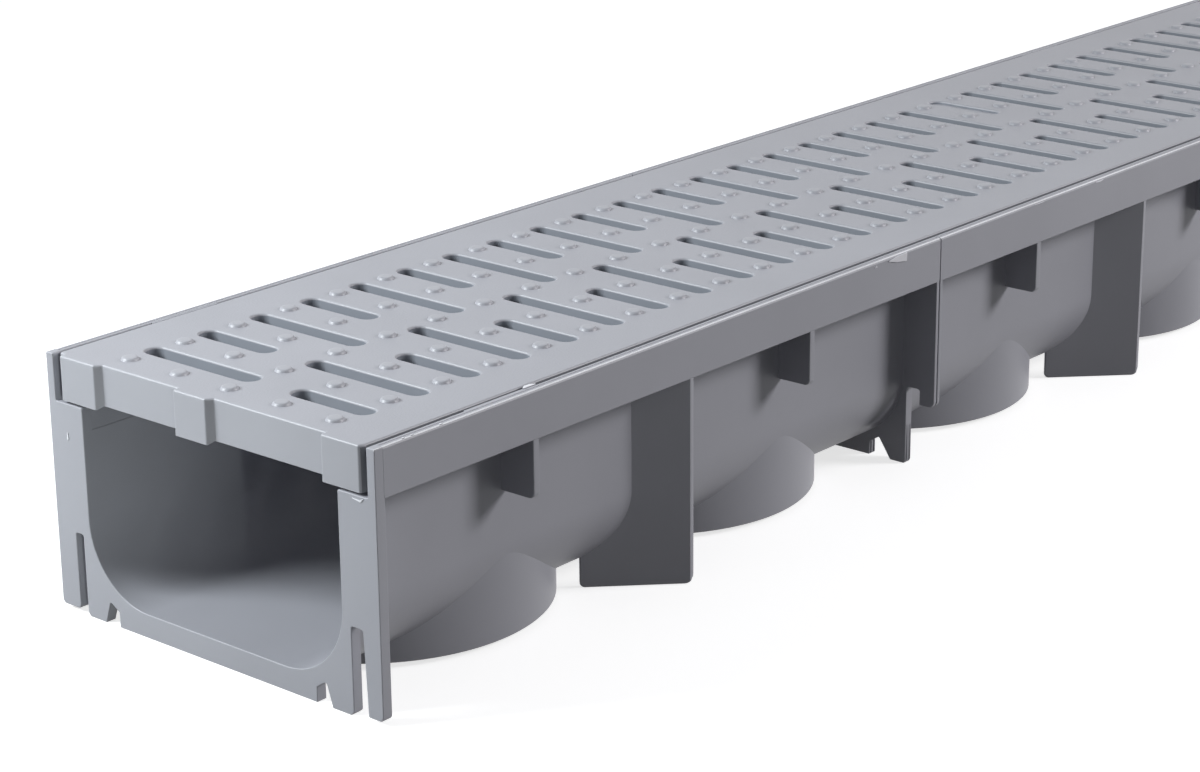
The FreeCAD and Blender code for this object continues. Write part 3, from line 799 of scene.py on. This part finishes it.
tint(grating, slot_painted_shade_plastic, in_a_slot)
tint(grating, gap_painted_shade_plastic, in_the_gap)
tint(grating, top_plastic, on_top)
tint(channel, rim_edge_painted_highlight_plastic, on_rim_edge)
tint(channel, flake_plastic, stands_proud)

# %% [markdown]
# ## Floor, background and light
#
# The drain lies on a pale floor that fades into white. The camera sees the background as plain white at
# strength one, while the light on the object comes from three soft lamps at a plain level. A fourth lamp
# throws a narrow beam into the near opening, which the soft lamps hardly reach.

# %% Floor
FLOOR_HALF = 6.0
FLOOR_GLOW, FLOOR_SEEN, FLOOR_FELT = 0.72, 0.6, 0.1
floor_mesh = bpy.data.meshes.new("floor")
floor_mesh.from_pydata([(-FLOOR_HALF, -FLOOR_HALF, 0), (FLOOR_HALF, -FLOOR_HALF, 0),
                        (FLOOR_HALF, FLOOR_HALF, 0), (-FLOOR_HALF, FLOOR_HALF, 0)], [], [(0, 1, 2, 3)])
floor = put_in_scene(bpy.data.objects.new("floor", floor_mesh))
floor_material = bpy.data.materials.new("pale floor")
floor_material.use_nodes = True
floor_nodes, floor_links = floor_material.node_tree.nodes, floor_material.node_tree.links
floor_nodes.remove(floor_nodes["Principled BSDF"])


def seen_directly(nodes, links):
    """One where the camera, a reflection or a view through glass meets the surface, else nought."""
    ray = nodes.new("ShaderNodeLightPath")
    total = ray.outputs["Is Camera Ray"]
    for kind in ("Is Glossy Ray", "Is Transmission Ray"):
        either = nodes.new("ShaderNodeMath")
        either.operation = "MAXIMUM"
        links.new(total, either.inputs[0])
        links.new(ray.outputs[kind], either.inputs[1])
        total = either.outputs[0]
    return total


def plain_diffuse(level):
    shader = floor_nodes.new("ShaderNodeBsdfDiffuse")
    shader.inputs["Color"].default_value = (level, level, level, 1)
    return shader.outputs["BSDF"]


glow = floor_nodes.new("ShaderNodeEmission")
glow.inputs["Color"].default_value = (1, 1, 1, 1)
glow.inputs["Strength"].default_value = FLOOR_GLOW
pale = floor_nodes.new("ShaderNodeAddShader")
floor_links.new(glow.outputs["Emission"], pale.inputs[0])
floor_links.new(plain_diffuse(FLOOR_SEEN), pale.inputs[1])
either_floor = floor_nodes.new("ShaderNodeMixShader")
floor_links.new(seen_directly(floor_nodes, floor_links), either_floor.inputs["Fac"])
floor_links.new(plain_diffuse(FLOOR_FELT), either_floor.inputs[1])
floor_links.new(pale.outputs["Shader"], either_floor.inputs[2])
floor_links.new(either_floor.outputs["Shader"], floor_nodes["Material Output"].inputs["Surface"])
floor.data.materials.append(floor_material)
print("floor", 2 * FLOOR_HALF, "m wide")

# %% World
WORLD_STRENGTH = 0.13
world = bpy.data.worlds.new("studio")
bpy.context.scene.world = world
world.use_nodes = True
world_nodes, world_links = world.node_tree.nodes, world.node_tree.links
surroundings = world_nodes["Background"]
surroundings.inputs["Color"].default_value = (0.93, 0.96, 1.0, 1)
surroundings.inputs["Strength"].default_value = WORLD_STRENGTH
seen = world_nodes.new("ShaderNodeBackground")
seen.inputs["Color"].default_value = (1, 1, 1, 1)
seen.inputs["Strength"].default_value = 1
choose = world_nodes.new("ShaderNodeMixShader")
world_links.new(seen_directly(world_nodes, world_links), choose.inputs["Fac"])
world_links.new(surroundings.outputs["Background"], choose.inputs[1])
world_links.new(seen.outputs["Background"], choose.inputs[2])
world_links.new(choose.outputs["Shader"], world_nodes["World Output"].inputs["Surface"])
bpy.context.scene.view_settings.view_transform = "Standard"
print("world strength", WORLD_STRENGTH)

# %% Lamps
BEAM_ANGLE, BEAM_SIZE = 4.6, 0.05


def aimed_lamp(name, kind, place, target, power, colour):
    """A lamp at a place, turned to a target. Returns its settings."""
    lamp = put_in_scene(bpy.data.objects.new(name, bpy.data.lights.new(name, kind)))
    lamp.location = place
    lamp.rotation_euler = (Vector(target) - Vector(place)).to_track_quat("-Z", "Y").to_euler()
    lamp.data.energy = power
    lamp.data.color = colour
    print(name, power, "W")
    return lamp.data


def soft_lamp(name, place, target, size, power, colour):
    disk = aimed_lamp(name, "AREA", place, target, power, colour)
    disk.shape = "DISK"
    disk.size = size


soft_lamp("end_light", (-0.92, 0.42, 0.50), (-0.5, 0, 0.05), 0.35, 8.6, (0.93, 0.985, 1.0))
soft_lamp("side_light", (1.25, -1.7, 1.15), (-0.1, 0, 0), 0.8, 38, (1.0, 0.985, 1.0))
soft_lamp("top_light", (0.35, 0.2, 1.8), (0.2, 0, 0), 1.5, 4, (0.95, 0.98, 1.0))

beam = aimed_lamp("opening_light", "SPOT", (-1.15, -1.1, 0.08), (-0.508, 0.055, 0.042), 36,
                  (0.94, 1.0, 0.96))
beam.spot_size = math.radians(BEAM_ANGLE)
beam.spot_blend = 1
beam.shadow_soft_size = BEAM_SIZE
